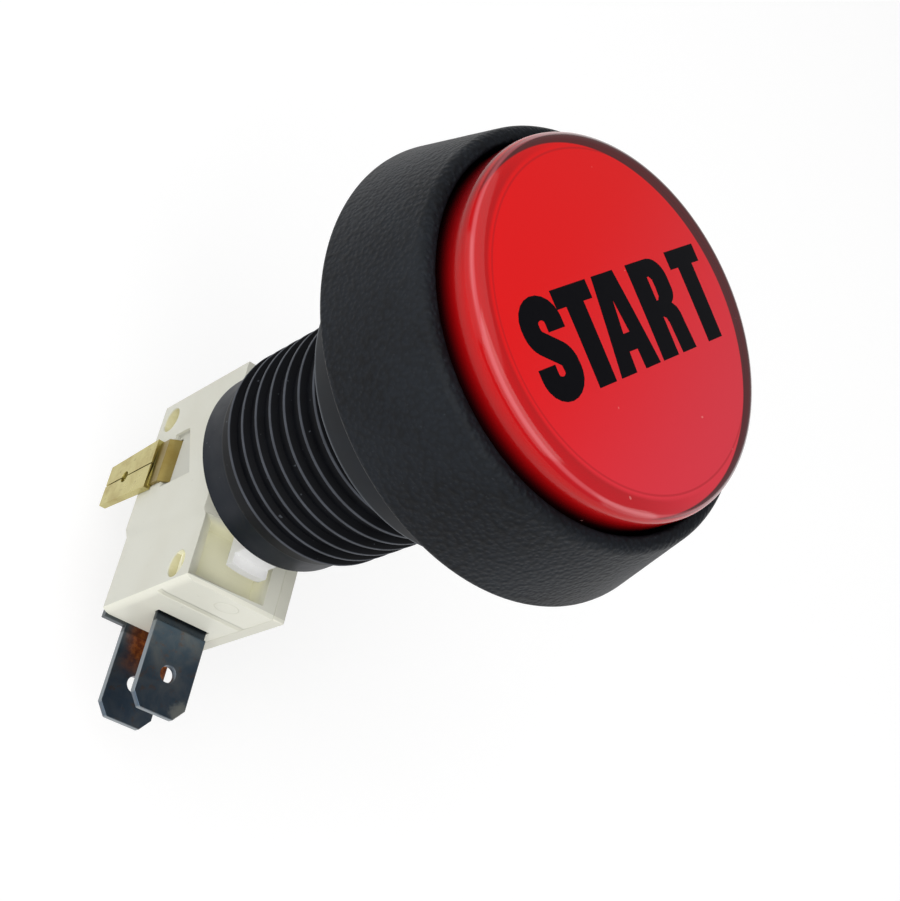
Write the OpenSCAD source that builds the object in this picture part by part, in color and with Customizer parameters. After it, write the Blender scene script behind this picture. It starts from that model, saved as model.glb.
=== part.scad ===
// Illuminated arcade push button with a lamp holder and switch block on its tail.
// Origin: centre of the bezel's rear face, where the panel seats. +Z runs out through the lens,
// -X is the side that carries the near lamp terminal, -Y the end that carries the switch terminals.

/* [Bezel] */
// Diameter of the bezel at its rear face
bezel_rear_d = 42; // [40:0.5:46]
// Diameter of the bezel where the front lip starts to round
bezel_front_d = 37.5; // [36.8:0.1:39]
// Height of the bezel in front of the panel
bezel_h = 9.9; // [9:0.1:11.5]
// Radius of the front lip
lip_round = 0.9; // [0.4:0.1:1]
// Thickness of the bezel's floor
bezel_floor = 1.8; // [1.5:0.1:2]
// Depth of the recess in the bezel's rear face
seat_recess = 0.6; // [0.3:0.1:0.8]
// Width of the rim that seats on the panel
seat_rim_w = 2.6; // [1.5:0.1:4]

/* [Barrel] */
// Diameter over the thread crests
crest_d = 23; // [22.6:0.1:24]
// Depth of the thread
thread_depth = 0.6; // [0.3:0.1:0.7]
// Distance between crests
thread_pitch = 2.33; // [1.8:0.01:2.6]
// Width of a crest at its tip
crest_w = 0.34; // [0.2:0.02:0.6]
// Number of turns, drawn as rings
thread_turns = 13; // [4:1:13]
// Distance from the panel seat to the first crest
thread_start = 1.4; // [1:0.1:2]
// Length of the barrel behind the panel seat
barrel_len = 34.1; // [33:0.1:35]
// Diameter of the plain band at the barrel's end
band_d = 21.4; // [20.8:0.1:21.8]
// Diameter of the barrel's bore
barrel_bore_d = 18.6; // [18.2:0.1:19.2]

/* [Bayonet ledge inside the barrel] */
// Distance from the panel seat to the ledge's front face
ledge_depth = 25; // [24:0.1:26.5]
// Thickness of the ledge
ledge_t = 2; // [1.4:0.1:2.6]
// Diameter of the ledge's opening
ledge_d = 14.2; // [14:0.1:15]
// Width of the two gaps in the ledge
ledge_gap_w = 7; // [6.4:0.1:8]

/* [Panel nut] */
// Diameter of the ring nut
nut_d = 29.3; // [27:0.1:34]
// Height of the ring nut
nut_h = 10.2; // [6:0.1:12]
// Chamfer on the nut's rims
nut_chamfer = 0.5; // [0.2:0.1:1]

/* [Lens] */
// Outer diameter of the lens
lens_d = 33.4; // [32.8:0.1:34]
// Height of the lens rim above the bezel's lip
lens_proud = 3.5; // [3:0.1:4.5]
// Radius of the lens's outer edge
lens_round = 1.5; // [0.8:0.1:2]
// Rise of the lens's crown above its rim
lens_dome = 0.3; // [0.1:0.05:0.6]
// Wall of the lens skirt
lens_wall = 1.5; // [1:0.1:2]
// Thickness of the lens's face
lens_face_t = 1.7; // [1.2:0.1:2.2]
// Depth of the lens skirt below its rim
lens_skirt = 8.4; // [7.4:0.1:8.6]

/* [Legend and diffuser] */
// Thickness of the printed legend plate
legend_t = 0.6; // [0.3:0.1:0.9]
// Thickness of the diffuser disc
diffuser_t = 1; // [0.6:0.1:1.4]

/* [Plunger] */
// Wall of the plunger's sleeve
sleeve_wall = 1; // [0.8:0.1:1.1]
// Length of the sleeve behind the panel seat
sleeve_len = 20; // [16:0.5:21]
// Thickness of the plunger's flange
flange_t = 1.2; // [0.8:0.1:1.4]
// Height of the rim that carries the diffuser
rim_h = 1.1; // [0.8:0.1:2]
// Width of the leg that works the switch
leg_w = 4.8; // [4.4:0.1:5.6]
// Reach of the leg's foot from the axis
foot_reach = 11.5; // [11.1:0.1:12.2]
// Thickness of the foot
foot_t = 1.2; // [0.9:0.1:1.6]
// Distance from the barrel's end to the rear of the foot
foot_drop = 3.4; // [3:0.1:3.6]

/* [Return spring] */
// Wire diameter of the return spring
spring_wire = 0.7; // [0.5:0.05:0.8]
// Mean diameter of the return spring
spring_d = 22.4; // [21.4:0.1:24]
// Number of turns of the return spring
spring_turns = 2.5; // [1.5:0.5:2.5]

/* [Switch and lamp block] */
// Width of the block
case_w = 12.6; // [12.2:0.1:13.4]
// Height of the block above the button's axis
case_up = 11.8; // [11:0.1:12.5]
// Height of the block below the button's axis
case_down = 14.1; // [13.8:0.1:15]
// Distance from the panel seat to the block's front face
case_front = 38.1; // [37.9:0.1:39]
// Depth of the block along the button's axis
case_depth = 17.5; // [17.2:0.1:18.5]
// Radius of the block's lower near edge
case_round = 1.4; // [0.6:0.1:1.8]
// Thickness of the cover on the far side
cover_t = 1.5; // [1:0.1:1.8]
// Wall between the near face and the switch chamber
case_wall = 1.4; // [1:0.1:1.8]
// Depth of the shallow recess in the near face
face_step = 0.4; // [0.2:0.1:0.6]
// Diameter of the two blind mounting holes
dimple_d = 3.1; // [2.8:0.1:3.3]
// Depth of the two blind mounting holes
dimple_depth = 1.5; // [1.2:0.1:1.7]

/* [Lamp holder neck] */
// Diameter of the neck that reaches into the barrel
neck_d = 13; // [12.6:0.1:13.4]
// Distance from the panel seat to the neck's front end
neck_front = 23; // [22.5:0.1:23.4]
// Thickness of the neck's locking lugs
lug_t = 1.4; // [1:0.1:1.5]
// Width of the neck's locking lugs
lug_w = 7; // [5:0.1:8]

/* [Actuator pocket] */
// Depth of the pocket in the block's front face
pocket_depth = 3.5; // [3.3:0.1:3.9]
// Half width of the pocket on the near side
pocket_near = 5.9; // [5.4:0.1:6]
// Half width of the pocket on the far side
pocket_far = 3.3; // [2.9:0.1:4]
// Thickness of the lip below the pocket
pocket_lip = 0.9; // [0.7:0.1:1.4]

/* [Lamp] */
// Diameter of the lamp's bulb
bulb_d = 10; // [9:0.1:10.4]
// Wall of the bulb
bulb_wall = 0.6; // [0.4:0.1:0.8]
// Length of the bulb in front of its pinch
bulb_len = 19; // [16:0.5:21]
// Width of the lamp's wedge
wedge_w = 9; // [8:0.1:9.4]
// Thickness of the lamp's wedge
wedge_t = 2.2; // [1.8:0.1:2.6]
// Length of the lamp's wedge
wedge_len = 5; // [4.4:0.1:5.6]
// Thickness of the lamp's flattened leads
lead_t = 0.25; // [0.15:0.05:0.3]
// Edge of the bulb's foot
bulb_foot = 1; // [0.6:0.1:1.4]
// Thickness of the bulb's floor
bulb_floor = 2; // [1.4:0.1:2.4]
// Diameter of the filament's posts
post_d = 0.5; // [0.4:0.05:0.6]
// Diameter of the filament
filament_d = 0.36; // [0.2:0.02:0.4]
// Distance between the filament's posts
post_gap = 4; // [3:0.1:4.6]
// Height of the filament's posts
post_h = 8; // [6:0.1:9]

/* [Lamp terminals] */
// Thickness of the brass sheet
brass_t = 0.4; // [0.3:0.05:0.5]
// Width of the folded blade at its root
brass_root_w = 6.2; // [5.6:0.1:6.4]
// Width of the folded blade at its tip
brass_tip_w = 5.2; // [4.4:0.1:5.4]
// Length of the folded blade
brass_len = 10.6; // [9:0.1:11]
// How far the blades stand out behind the block
brass_out = 7.8; // [7.2:0.1:8.4]
// Height of the blade's middle above the button's axis
brass_y = 3.1; // [2.6:0.1:3.4]
// Diameter of the hole in the blade
brass_hole_d = 1.4; // [1:0.1:1.6]

/* [Switch terminals] */
// Thickness of the steel terminals
steel_t = 0.8; // [0.6:0.1:0.9]
// Width of the steel tabs
tab_w = 6.3; // [5.8:0.1:6.5]
// Reach of the steel tabs below the button's axis
tab_reach = 24.5; // [23:0.1:26]
// Sideways place of the tabs' middle
tab_x = 0.4; // [-0.5:0.1:0.6]
// Chamfer at the tabs' tips
tab_chamfer = 1.4; // [0.8:0.1:1.8]
// Diameter of the hole in the tabs
tab_hole_d = 1.8; // [1.4:0.1:2]
// Distance from a tab's tip to its hole
tab_hole_back = 4.4; // [4:0.1:5]
// Distance from the block's front to the front tab
open_tab_in = 10.9; // [10.5:0.1:11.3]

/* [Switch works] */
// Sideways place of the switch's button and contacts
works_x = 0.8; // [0.4:0.1:1]
// Diameter of the switch's button
button_d = 2.2; // [1.8:0.1:2.4]
// Distance of the switch's button from the axis
button_y = 8; // [7.8:0.05:8.2]
// Thickness of the contact blade
blade_t = 0.3; // [0.2:0.05:0.4]
// Width of the contact blade
blade_w = 3.2; // [2.8:0.1:3.4]
// Open gap between the contacts
contact_gap = 0.8; // [0.75:0.05:0.95]
// Diameter of the contact rivets
contact_d = 1.6; // [1.2:0.1:1.8]

/* [Clearances] */
// Radial clearance of a part that slides or turns in another
run_gap = 0.08; // [0.04:0.01:0.1]
// Gap between parts that seat on one another
seat_gap = 0.1; // [0.05:0.01:0.15]
// Gap round the lens in the bezel
lens_gap = 0.4; // [0.3:0.05:0.5]
// Gap round pieces that drop into a slot
slot_gap = 0.2; // [0.1:0.05:0.25]

/* [Hidden] */
$fn = 96;
eps = 0.01;

// Bezel and barrel
barrel_r = barrel_bore_d / 2;
crest_r = crest_d / 2;
core_r = crest_r - thread_depth;
seat_rim_r = bezel_rear_d / 2 - seat_rim_w;
crest_root_w = crest_w + 2 * thread_depth * 0.6;
bezel_bore_r = lens_d / 2 + lens_gap;
lip_inner = 0.3;
rear_edge = 0.4;

// Lens stack
lens_rim_z = bezel_h + lens_proud;
lens_face_z = lens_rim_z - lens_face_t;
lens_bottom_z = lens_rim_z - lens_skirt;
lens_inner_r = lens_d / 2 - lens_wall;
legend_z = lens_face_z - seat_gap - legend_t;
diffuser_z = legend_z - diffuser_t;
disc_r = lens_inner_r - seat_gap;

// Plunger
flange_top_z = diffuser_z - rim_h;
flange_z = flange_top_z - flange_t;
rim_wall = 1.2;
sleeve_r = barrel_r - run_gap;
leg_in_r = neck_d / 2 + 0.8;
foot_rear_z = -barrel_len - foot_drop;
leg_step_r = band_d / 2 - 0.3;

// Return spring
spring_z0 = bezel_floor;
spring_h = flange_z - bezel_floor;

// Block
case_x = case_w / 2;
case_front_z = -case_front;
case_rear_z = -case_front - case_depth;
open_tab_z = case_front_z - open_tab_in;
cover_x = case_x - cover_t;
pocket_floor_z = case_front_z - pocket_depth;
guide_t = 1.6;
chamber_front_z = pocket_floor_z - guide_t;
chamber_rear_z = case_rear_z + 1.4;
chamber_low_y = -case_down + 1.3;
chamber_high_y = -1.9;
chamber_near_x = -case_x + case_wall + face_step;
dimple_up = [case_up - 2.4, case_rear_z + 2.4];
dimple_low = [-case_down + 2.35, case_front_z - 3.2];

// Lamp and its socket
socket_front_z = -neck_front;
socket_floor_z = case_front_z + 1;
wedge_top_z = socket_floor_z + seat_gap;
wedge_end_z = wedge_top_z - wedge_len;
bulb_floor_z = wedge_top_z + bulb_floor;
bulb_r = bulb_d / 2;
slot_floor_z = wedge_end_z - seat_gap;

// Lamp terminals
blade_face_x = case_x + seat_gap / 2;
brass_tip_z = case_rear_z - brass_out;
brass_root_z = brass_tip_z + brass_len;
strip_w = 5.4;
brass_bend_z = case_rear_z + 7;
leaf_low_y = -1.3;
leaf_x = wedge_t / 2 + lead_t + seat_gap / 2;

// Switch works
button_top_z = foot_rear_z - seat_gap;
button_flange_r = button_d / 2 + 0.75;
button_flange_t = 0.7;
button_flange_z = chamber_front_z - seat_gap;
blade_z = button_flange_z - button_flange_t - 4.6;
pivot_y = -2.6;
contact_y = -10.4;
contact_t = 0.6;
fixed_z = blade_z - blade_t - contact_t - contact_gap;
fixed_t = 0.4;
inner_strip_z = fixed_z - fixed_t;
post_w = 4;
post_top_z = blade_z - blade_t - seat_gap;

// Points of a circular arc
function arc(cx, cy, r, a0, a1, n) =
    [for (i = [0:n]) let (a = a0 + (a1 - a0) * i / n) [cx + r * cos(a), cy + r * sin(a)]];

// Ring between two radii and two heights
module ring(r_in, r_out, z0, z1) {
    translate([0, 0, z0]) difference() {
        cylinder(r = r_out, h = z1 - z0);
        translate([0, 0, -eps]) cylinder(r = r_in, h = z1 - z0 + 2 * eps);
    }
}

// Box between two corners
module span(a, b) {
    translate(a) cube(b - a);
}

// Profile of the bezel and barrel, thread crests apart
module housing_profile() {
    taper = atan2((bezel_rear_d - bezel_front_d) / 2, bezel_h - lip_round);
    lip_x = bezel_front_d / 2 - lip_round * cos(taper);
    lip_z = bezel_h - lip_round;
    in_x = bezel_bore_r + lip_inner;
    polygon(concat(
        [[barrel_r, -barrel_len], [band_d / 2 - 0.2, -barrel_len], [band_d / 2, -barrel_len + 0.2]],
        [[band_d / 2, -thread_end], [core_r, -thread_end], [core_r, seat_recess]],
        [[seat_rim_r, seat_recess], [seat_rim_r, 0]],
        [[bezel_rear_d / 2 - rear_edge, 0], [bezel_rear_d / 2, rear_edge]],
        arc(lip_x, lip_z, lip_round, taper, 90, 8),
        arc(in_x, bezel_h - lip_inner, lip_inner, 90, 180, 4),
        [[bezel_bore_r, bezel_floor], [barrel_r, bezel_floor]]
    ));
}
thread_end = thread_start + (thread_turns - 1) * thread_pitch + crest_root_w / 2;

// One crest of the thread, as a ring
module crest(z) {
    translate([0, 0, z]) rotate_extrude() polygon([
        [core_r - 0.2, -crest_root_w / 2], [core_r, -crest_root_w / 2], [crest_r, -crest_w / 2],
        [crest_r, crest_w / 2], [core_r, crest_root_w / 2], [core_r - 0.2, crest_root_w / 2]]);
}

module housing() color([0.13, 0.14, 0.16]) {
    rotate_extrude() housing_profile();
    for (i = [0:thread_turns - 1]) crest(-thread_start - i * thread_pitch);
    difference() {
        ring(ledge_d / 2, barrel_r + 0.2, -ledge_depth - ledge_t, -ledge_depth);
        translate([-ledge_gap_w / 2, -barrel_r, -ledge_depth - ledge_t - 1])
            cube([ledge_gap_w, 2 * barrel_r, ledge_t + 2]);
    }
}

module panel_nut() color([0.2, 0.22, 0.24]) {
    bore_r = crest_r + seat_gap;
    translate([0, 0, seat_recess]) rotate_extrude() polygon([
        [bore_r + nut_chamfer, 0], [nut_d / 2 - nut_chamfer, 0], [nut_d / 2, -nut_chamfer],
        [nut_d / 2, -nut_h + nut_chamfer], [nut_d / 2 - nut_chamfer, -nut_h],
        [bore_r + nut_chamfer, -nut_h], [bore_r, -nut_h + nut_chamfer], [bore_r, -nut_chamfer]]);
}

module lens() color([0.86, 0.07, 0.1, 0.8]) {
    round_x = lens_d / 2 - lens_round;
    inner_round = 0.6;
    dome_n = 8;
    rotate_extrude() polygon(concat(
        [[lens_inner_r, lens_bottom_z], [lens_d / 2, lens_bottom_z]],
        arc(round_x, lens_rim_z - lens_round, lens_round, 0, 90, 8),
        [for (i = [1:dome_n]) let (x = round_x * (1 - i / dome_n))
            [x, lens_rim_z + lens_dome * (1 - pow(x / round_x, 2))]],
        [[0, lens_face_z]],
        arc(lens_inner_r - inner_round, lens_face_z - inner_round, inner_round, 90, 0, 4)
    ));
}

module legend_plate() color([0.95, 0.9, 0.88]) {
    translate([0, 0, legend_z]) cylinder(r = disc_r - 0.6, h = legend_t);
}

module diffuser() color([0.97, 0.97, 0.95]) {
    translate([0, 0, diffuser_z]) cylinder(r = disc_r, h = diffuser_t);
}

// Foot at the end of the plunger's leg, rounded to the reach of the foot
module leg() {
    intersection() {
        union() {
            ring(leg_in_r, sleeve_r, foot_rear_z, -sleeve_len + 1);
            ring(leg_in_r, leg_step_r, foot_rear_z, -barrel_len - seat_gap);
            ring(leg_in_r, foot_reach, foot_rear_z, foot_rear_z + foot_t);
        }
        span([-leg_w / 2, -foot_reach - 1, foot_rear_z - 1], [leg_w / 2, 0, 0]);
    }
}

module plunger() color([0.93, 0.93, 0.92]) {
    ring(sleeve_r - sleeve_wall, sleeve_r, -sleeve_len, flange_z + eps);
    ring(sleeve_r - sleeve_wall, disc_r, flange_z, flange_top_z);
    ring(disc_r - rim_wall, disc_r, flange_top_z - eps, diffuser_z);
    leg();
}

// Coil spring with flat ends, swept along its helix
function coil_z(t, turns, height, wire) =
    let (s = t / turns, e = 0.75 / turns)
    wire / 2 + (height - wire) * (s < e ? 0 : s > 1 - e ? 1 : (s - e) / (1 - 2 * e));
module coil(mean_r, wire, height, turns, steps, sides) {
    n = floor(turns * steps);
    points = [for (i = [0:n]) let (t = turns * i / n, a = 360 * t, z = coil_z(t, turns, height, wire))
        for (j = [0:sides - 1]) let (b = 360 * j / sides, r = mean_r + wire / 2 * cos(b))
            [r * cos(a), r * sin(a), z + wire / 2 * sin(b)]];
    walls = [for (i = [0:n - 1]) for (j = [0:sides - 1]) let (k = (j + 1) % sides)
        [i * sides + j, i * sides + k, (i + 1) * sides + k, (i + 1) * sides + j]];
    polyhedron(points, concat(walls, [[for (j = [sides - 1:-1:0]) j]],
        [[for (j = [0:sides - 1]) n * sides + j]]), convexity = 8);
}

module return_spring() color("silver") {
    end_gap = 0.05;
    translate([0, 0, spring_z0 + end_gap])
        coil(spring_d / 2, spring_wire, spring_h - 2 * end_gap, spring_turns + 1.5, 28, 8);
}

// Outline of the block across the button's axis
module case_outline() {
    r = case_round;
    polygon(concat(
        [[-case_x, case_up], [-case_x, -case_down + r]],
        arc(-case_x + r, -case_down + r, r, 180, 270, 8),
        [[case_x, -case_down], [case_x, case_up]]
    ));
}

// Recess in the near face below the raised lamp terminal pad, with a bevelled upper side
module face_recess() {
    front_y = -6.2;
    rear_y = -4;
    bevel = 1;
    d = case_depth + 2;
    translate([-case_x, 0, case_front_z + 1]) rotate([0, 90, 0]) linear_extrude(face_step)
        polygon([[0, front_y - bevel], [d, rear_y - bevel], [d, -case_down - 1], [0, -case_down - 1]]);
}

// Pocket in the front face, with a bevelled near wall
module pocket() {
    bevel = 1.5;
    high_y = -neck_d / 2 - 0.15;
    low_y = -case_down + pocket_lip;
    translate([0, high_y, 0]) rotate([90, 0, 0]) linear_extrude(high_y - low_y) polygon([
        [-pocket_near, case_front_z + 1], [-pocket_near, case_front_z],
        [-pocket_near + 1.6, case_front_z - bevel], [-pocket_near + 1.6, pocket_floor_z],
        [pocket_far, pocket_floor_z], [pocket_far, case_front_z + 1]]);
}

// Neck with its locking lugs and the flanges that stop it behind the ledge
module neck() {
    lug_r = barrel_r - 0.3;
    translate([0, 0, case_front_z - eps]) cylinder(d = neck_d, h = case_front - neck_front + eps);
    intersection() {
        union() {
            ring(neck_d / 2 - 1, lug_r, -ledge_depth + seat_gap, -ledge_depth + seat_gap + lug_t);
            ring(neck_d / 2 - 1, lug_r, -ledge_depth - ledge_t - seat_gap - lug_t,
                -ledge_depth - ledge_t - seat_gap);
        }
        span([-barrel_r, -lug_w / 2, -barrel_len], [barrel_r, lug_w / 2, 0]);
    }
}

// Socket for the lamp, open to the front of the neck
module socket() {
    translate([0, 0, socket_floor_z]) cylinder(d = bulb_d + 2 * slot_gap, h = case_front);
    span([-wedge_t / 2 - slot_gap, -wedge_w / 2 - slot_gap, slot_floor_z],
        [wedge_t / 2 + slot_gap, wedge_w / 2 + slot_gap, socket_floor_z + eps]);
}

// Slot that a lamp terminal runs in, on the side given by s
module terminal_slot(s) {
    x0 = leaf_x - slot_gap;
    w = strip_w / 2 + slot_gap;
    y = brass_y;
    for (part = [[x0, case_x + 1, brass_bend_z - slot_gap, brass_bend_z + brass_t + slot_gap]])
        span([min(s * part[0], s * part[1]), y - w, part[2]], [max(s * part[0], s * part[1]), y + w, part[3]]);
    span([min(s * (case_x - 0.6), s * (case_x + 1)), y - w - 0.5, brass_bend_z - 2],
        [max(s * (case_x - 0.6), s * (case_x + 1)), y + w + 0.5, brass_bend_z + 2]);
}

// Room for the contact leaves beside the lamp's wedge
module leaf_room() {
    w = strip_w / 2 + slot_gap;
    span([-leaf_x - brass_t - slot_gap, leaf_low_y - slot_gap, brass_bend_z - slot_gap],
        [leaf_x + brass_t + slot_gap, brass_y + w, wedge_top_z - 0.6]);
}

module case_body() {
    difference() {
        union() {
            translate([0, 0, case_rear_z]) linear_extrude(case_depth) case_outline();
            neck();
        }
        face_recess();
        pocket();
        socket();
        leaf_room();
        terminal_slot(-1);
        terminal_slot(1);
        span([chamber_near_x, chamber_low_y, chamber_rear_z], [case_x + 1, chamber_high_y, chamber_front_z]);
        for (p = [dimple_up, dimple_low])
            translate([-case_x - 1, p[0], p[1]]) rotate([0, 90, 0]) cylinder(d = dimple_d, h = dimple_depth + 1);
        translate([works_x, -button_y, chamber_front_z - 1])
            cylinder(d = button_d + 2 * run_gap, h = guide_t + 3);
        span([tab_x - tab_w / 2 - seat_gap, -case_down - 1, open_tab_z - steel_t / 2 - seat_gap],
            [tab_x + tab_w / 2 + seat_gap, chamber_low_y + eps, open_tab_z + steel_t / 2 + seat_gap]);
        span([works_x - post_w / 2 - seat_gap, pivot_y - 0.4 - seat_gap, case_rear_z - 1],
            [works_x + post_w / 2 + seat_gap, pivot_y + 0.4 + seat_gap, chamber_rear_z + eps]);
    }
}

module switch_case() color([0.87, 0.87, 0.82]) {
    difference() {
        case_body();
        span([cover_x, -case_down - 1, case_rear_z - 1], [case_x + 1, case_up + 1, case_front_z + eps]);
    }
}

module case_cover() color([0.85, 0.85, 0.8]) {
    lip = 0.8;
    difference() {
        span([cover_x, -case_down, case_rear_z], [case_x, case_up, case_front_z]);
        terminal_slot(1);
    }
    span([cover_x - lip, chamber_low_y + seat_gap, chamber_rear_z + seat_gap],
        [cover_x + eps, chamber_high_y - seat_gap, chamber_front_z - seat_gap]);
}

// Bulb and pinched wedge of the lamp, hollow in the bulb
module lamp_glass() color([0.85, 0.9, 0.92, 0.4]) {
    shoulder_z = wedge_top_z + bulb_len - bulb_r;
    difference() {
        union() {
            rotate_extrude() polygon(concat(
                [[0, wedge_top_z], [bulb_r - bulb_foot, wedge_top_z], [bulb_r, wedge_top_z + bulb_foot]],
                arc(0, shoulder_z, bulb_r, 0, 90, 12)));
            span([-wedge_t / 2, -wedge_w / 2, wedge_end_z], [wedge_t / 2, wedge_w / 2, wedge_top_z + eps]);
        }
        rotate_extrude() polygon(concat(
            [[0, bulb_floor_z], [bulb_r - bulb_wall, bulb_floor_z]],
            arc(0, shoulder_z, bulb_r - bulb_wall, 0, 90, 12)));
    }
}

module lamp_filament() color([0.5, 0.5, 0.5]) {
    post_r = post_d / 2;
    post_y = post_gap / 2;
    z0 = bulb_floor_z + 2 * eps;
    z1 = z0 + post_h;
    for (s = [-1, 1]) translate([0, s * post_y, z0]) cylinder(r = post_r, h = z1 - z0, $fn = 24);
    translate([0, post_y, z1 - post_r]) rotate([90, 0, 0]) cylinder(r = filament_d / 2, h = 2 * post_y, $fn = 24);
}

// Two lead wires folded up the faces of the wedge
module lamp_leads() color([0.7, 0.7, 0.7]) {
    lead_w = 0.6;
    for (s = [-1, 1])
        span([s > 0 ? wedge_t / 2 : -wedge_t / 2 - lead_t, brass_y / 2 - lead_w / 2, wedge_end_z],
            [s > 0 ? wedge_t / 2 + lead_t : -wedge_t / 2, brass_y / 2 + lead_w / 2, wedge_top_z - 1]);
}

// Folded blade: one layer, with two flaps turned over it that meet at a seam
module brass_blade() {
    seam = 0.16;
    root = brass_root_w / 2;
    tip = brass_tip_w / 2;
    module trapezoid(low, high, t) {
        translate([0, 0, brass_tip_z]) rotate([90, 0, 90]) linear_extrude(t)
            polygon([[low[0], 0], [high[0], 0], [high[1], brass_len], [low[1], brass_len]]);
    }
    difference() {
        union() {
            trapezoid([-tip, -root], [tip, root], brass_t + eps);
            translate([brass_t, 0, 0]) {
                trapezoid([-tip, -root], [-seam / 2, -seam / 2], brass_t);
                trapezoid([seam / 2, seam / 2], [tip, root], brass_t);
            }
        }
        translate([-1, 0, brass_tip_z + brass_len * 0.42]) rotate([0, 90, 0])
            cylinder(d = brass_hole_d, h = 2 * brass_t + 2);
    }
}

// Lamp terminal on the side of +X: blade, strip, the turn into the block and the leaf at the wedge
module lamp_terminal() {
    w = strip_w / 2;
    translate([blade_face_x, brass_y, 0]) brass_blade();
    span([blade_face_x, brass_y - w, brass_root_z - eps],
        [blade_face_x + brass_t, brass_y + w, brass_bend_z + brass_t]);
    span([leaf_x, brass_y - w, brass_bend_z], [blade_face_x + brass_t, brass_y + w, brass_bend_z + brass_t]);
    span([leaf_x, leaf_low_y, brass_bend_z], [leaf_x + brass_t, brass_y + w, wedge_top_z - 1]);
}

module lamp_terminal_near() color([0.76, 0.7, 0.42]) mirror([1, 0, 0]) lamp_terminal();

module lamp_terminal_far() color([0.76, 0.7, 0.42]) lamp_terminal();

module switch_button() color([0.94, 0.94, 0.9]) {
    translate([works_x, -button_y, button_flange_z]) {
        cylinder(d = button_d, h = button_top_z - button_flange_z);
        translate([0, 0, -button_flange_t]) cylinder(r = button_flange_r, h = button_flange_t);
    }
}

module button_spring() color("silver") {
    end_gap = 0.05;
    z0 = blade_z + end_gap;
    translate([works_x, -button_y, z0])
        coil(1.35, 0.3, button_flange_z - button_flange_t - end_gap - z0, 5.5, 20, 6);
}

// Contact blade, with a rounded free end
module contact_blade() color([0.78, 0.6, 0.35]) {
    translate([works_x, 0, blade_z - blade_t]) {
        span([-blade_w / 2, contact_y, 0], [blade_w / 2, pivot_y + 0.5, blade_t]);
        translate([0, contact_y, 0]) cylinder(d = blade_w, h = blade_t);
    }
}

// Bowed leaf under the blade that snaps it across
module snap_leaf() color([0.8, 0.66, 0.42]) {
    bow_r = 2.1;
    t = 0.2;
    w = 1.2;
    translate([works_x - w / 2, pivot_y - 0.7 - bow_r, blade_z - blade_t - 0.02]) rotate([90, 0, 90]) linear_extrude(w)
        difference() {
            circle(r = bow_r);
            circle(r = bow_r - t);
            translate([-bow_r - 1, 0]) square([2 * bow_r + 2, bow_r + 1]);
        }
}

module moving_contact() color([0.85, 0.85, 0.85]) {
    translate([works_x, contact_y, blade_z - blade_t - contact_t]) cylinder(d = contact_d, h = contact_t);
}

module fixed_contact() color([0.85, 0.85, 0.85]) {
    translate([works_x, contact_y, inner_strip_z]) cylinder(d = contact_d, h = fixed_t);
}

// Tab with chamfered tip and a hole, its front face at z = 0 and its root at y = root_y
module steel_tab(root_y, t) {
    c = tab_chamfer;
    w = tab_w / 2;
    translate([tab_x, 0, -t]) difference() {
        linear_extrude(t) polygon([[-w, root_y], [w, root_y], [w, -tab_reach + c], [w - c * 0.8, -tab_reach],
            [-w + c * 0.8, -tab_reach], [-w, -tab_reach + c]]);
        translate([0, -tab_reach + tab_hole_back, -1]) cylinder(d = tab_hole_d, h = t + 2);
    }
}

module open_terminal() color([0.22, 0.27, 0.32]) {
    fold_y = -case_down - 0.9;
    half = steel_t / 2;
    inner_y = contact_y + contact_d;
    top_z = open_tab_z + half;
    translate([0, 0, open_tab_z]) steel_tab(chamber_low_y + half, half);
    translate([0, 0, top_z]) steel_tab(fold_y, half + eps);
    span([tab_x - tab_w / 2, chamber_low_y, inner_strip_z - half],
        [tab_x + tab_w / 2, chamber_low_y + half, open_tab_z]);
    span([works_x - contact_d, chamber_low_y, inner_strip_z - half],
        [works_x + contact_d, inner_y, inner_strip_z]);
}

module common_terminal() color([0.22, 0.27, 0.32]) {
    z0 = case_rear_z - seat_gap / 2;
    root_y = -case_down - 0.35;
    translate([0, 0, z0]) steel_tab(root_y + eps, steel_t);
    span([-case_x + 0.9, root_y, z0 - steel_t], [case_x - 0.9, pivot_y + 0.5, z0]);
    span([works_x - post_w / 2, pivot_y - 0.4, z0 - eps], [works_x + post_w / 2, pivot_y + 0.4, post_top_z]);
}

housing();
panel_nut();
lens();
legend_plate();
diffuser();
plunger();
return_spring();
switch_case();
case_cover();
lamp_glass();
lamp_filament();
lamp_leads();
lamp_terminal_near();
lamp_terminal_far();
switch_button();
button_spring();
contact_blade();
snap_leaf();
moving_contact();
fixed_contact();
open_terminal();
common_terminal();
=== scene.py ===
"""Illuminated arcade push button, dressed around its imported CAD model."""
from math import atan2, cos, degrees, pi, radians, sin, sqrt

import bmesh
import bpy
from mathutils import Matrix, Vector


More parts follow.
